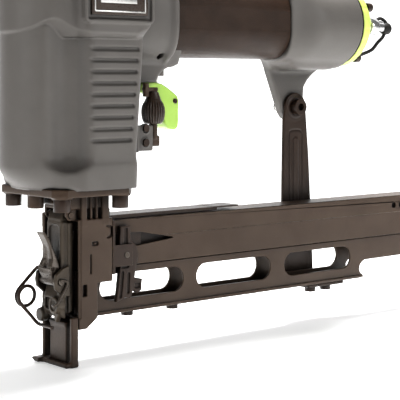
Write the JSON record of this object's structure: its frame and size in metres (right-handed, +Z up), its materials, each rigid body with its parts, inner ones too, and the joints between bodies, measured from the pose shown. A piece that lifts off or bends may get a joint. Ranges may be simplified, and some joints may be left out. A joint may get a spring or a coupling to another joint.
{
  "type": "pneumatic nail gun",
  "caption": "Pneumatic fastener driver: cast body with finned sides, rubber-gripped handle, rear air plug, hinged nose door, slotted magazine and a steel rear arm.",
  "frame": {"origin": "driver axis at the height of the contact foot's lower face", "axes": "+X to the rear along the magazine, +Z up along the driver axis, +Y to the tool's right"},
  "size_m": [0.342, 0.072, 0.2375],
  "materials": {
    "body_paint": "cast, with a satin grey paint",
    "grip_rubber": "matt brown-black rubber",
    "lime_plastic": "lime moulded plastic",
    "black_plastic": "satin black",
    "black_rubber": "soft black rubber",
    "dark_steel": "black-oxide steel with a warm tint",
    "black_steel": "black-oxide fasteners",
    "door_steel": "olive-brown phosphated steel",
    "lever_steel": "worn phosphated steel",
    "bright_steel": "bright steel",
    "plug_chrome": "polished",
    "piston_alloy": "machined"
  },
  "bodies": {
    "housing": {"main_body": "body_paint", "rubber_grip": "grip_rubber", "label_plate": "black_plastic", "end_cap_gasket": "black_rubber", "end_cap": "lime_plastic", "end_cap_screws": "black_steel", "air_plug": "plug_chrome", "dust_cap_strap": "black_rubber", "cylinder_sleeve": "piston_alloy", "sleeve_seals": "black_rubber", "bumper": "black_rubber", "head_valve_spring": "bright_steel", "top_cap_gasket": "black_rubber", "top_cap": "body_paint", "top_cap_screws": "black_steel", "deflector_screw": "bright_steel", "trigger_pin": "bright_steel", "valve_body": "black_plastic", "valve_spring": "bright_steel", "valve_pin": "black_steel", "nose_casting": "dark_steel", "nose_screws": "black_steel", "door_pin": "dark_steel", "safety_guide": "body_paint", "guide_screws": "black_steel", "safety_spring": "bright_steel", "magazine_track": "dark_steel", "track_screws": "black_steel", "staple_rail": "black_steel", "top_guard": "black_steel", "pusher_spring": "bright_steel", "magazine_latch_pin": "lever_steel", "latch_bracket": "black_steel", "rear_stop": "black_steel", "support_arm": "black_steel", "arm_bolt": "black_steel", "arm_nut": "bright_steel", "arm_screws": "black_steel"},
    "driver": {"piston": "piston_alloy", "piston_ring": "black_rubber", "driver_blade": "bright_steel"},
    "head_valve_cup": {"head_valve": "piston_alloy"},
    "deflector": {"exhaust_deflector": "black_plastic"},
    "trigger_lever": {"trigger": "lime_plastic", "contact_lever_pin": "black_steel"},
    "contact_finger": {"contact_lever": "bright_steel"},
    "stem": {"valve_stem": "bright_steel"},
    "safety": {"safety_foot": "dark_steel"},
    "wheel": {"depth_wheel": "black_plastic"},
    "door": {"front_door": "door_steel", "latch_pin": "lever_steel"},
    "latch": {"latch_lever": "lever_steel"},
    "bail": {"latch_bail": "black_steel"},
    "sliding_cover": {"magazine_cover": "dark_steel", "cover_end": "black_plastic"},
    "staple_pusher": {"pusher": "bright_steel"},
    "cover_latch": {"magazine_latch": "black_steel"},
    "cap": {"dust_cap": "black_rubber"}
  },
  "joints": [
    {"name": "driver_stroke", "type": "slide", "parent": "housing", "child": "driver", "axis": [0, 0, -1], "range_m": [0, 0.07]},
    {"name": "head_valve_lift", "type": "slide", "parent": "housing", "child": "head_valve_cup", "axis": [0, 0, 1], "range_m": [0, 0.004], "stiffness_N_per_m": 1200, "deforming": ["head_valve_spring"]},
    {"name": "deflector_turn", "type": "hinge", "parent": "housing", "child": "deflector", "pos_m": [0, 0, 0.2273], "axis": [0, 0, 1], "continuous": true},
    {"name": "trigger_pull", "type": "hinge", "parent": "housing", "child": "trigger_lever", "pos_m": [0.05, 0, 0.151], "axis": [0, -1, 0], "range_deg": [0, 12], "stiffness_Nm_per_rad": 0.4},
    {"name": "contact_finger_tilt", "type": "hinge", "parent": "trigger_lever", "child": "contact_finger", "pos_m": [0.072, 0, 0.1433], "axis": [0, 1, 0], "range_deg": [0, 6], "stiffness_Nm_per_rad": 0.05},
    {"name": "valve_press", "type": "slide", "parent": "housing", "child": "stem", "axis": [0, 0, 1], "range_m": [0, 0.0026], "deforming": ["valve_spring"]},
    {"name": "safety_travel", "type": "slide", "parent": "housing", "child": "safety", "axis": [0, 0, 1], "range_m": [0, 0.005], "stiffness_N_per_m": 900, "deforming": ["safety_spring"]},
    {"name": "depth_wheel_turn", "type": "hinge", "parent": "safety", "child": "wheel", "pos_m": [0.0495, -0.014, 0.138], "axis": [0, 0, 1], "continuous": true},
    {"name": "door_open", "type": "hinge", "parent": "housing", "child": "door", "pos_m": [-0.0045, 0, 0.0822], "axis": [0, 1, 0], "range_deg": [0, 38]},
    {"name": "latch_open", "type": "hinge", "parent": "door", "child": "latch", "pos_m": [-0.0105, 0, 0.0465], "axis": [0, -1, 0], "range_deg": [0, 60]},
    {"name": "bail_swing", "type": "hinge", "parent": "latch", "child": "bail", "pos_m": [-0.0129, 0, 0.0532], "axis": [0, 1, 0], "range_deg": [0, 72]},
    {"name": "cover_slide", "type": "slide", "parent": "housing", "child": "sliding_cover", "axis": [1, 0, 0], "range_m": [0, 0.15]},
    {"name": "pusher_feed", "type": "slide", "parent": "housing", "child": "staple_pusher", "axis": [1, 0, 0], "range_m": [0, 0.2]},
    {"name": "cover_latch_turn", "type": "hinge", "parent": "housing", "child": "cover_latch", "pos_m": [0.031, 0, 0.058], "axis": [0, -1, 0], "range_deg": [0, 10], "stiffness_Nm_per_rad": 0.3},
    {"name": "dust_cap_flip", "type": "hinge", "parent": "housing", "child": "cap", "pos_m": [0.2535, 0, 0.17], "axis": [0, 1, 0], "range_deg": [0, 100]}
  ],
  "couplings": [
    {"joint": "contact_finger_tilt", "follows": "safety_travel", "rad_per_m": 20.934},
    {"joint": "valve_press", "follows": "trigger_pull", "m_per_rad": 0.012404},
    {"joint": "bail_swing", "follows": "latch_open", "ratio": 1.2}
  ]
}
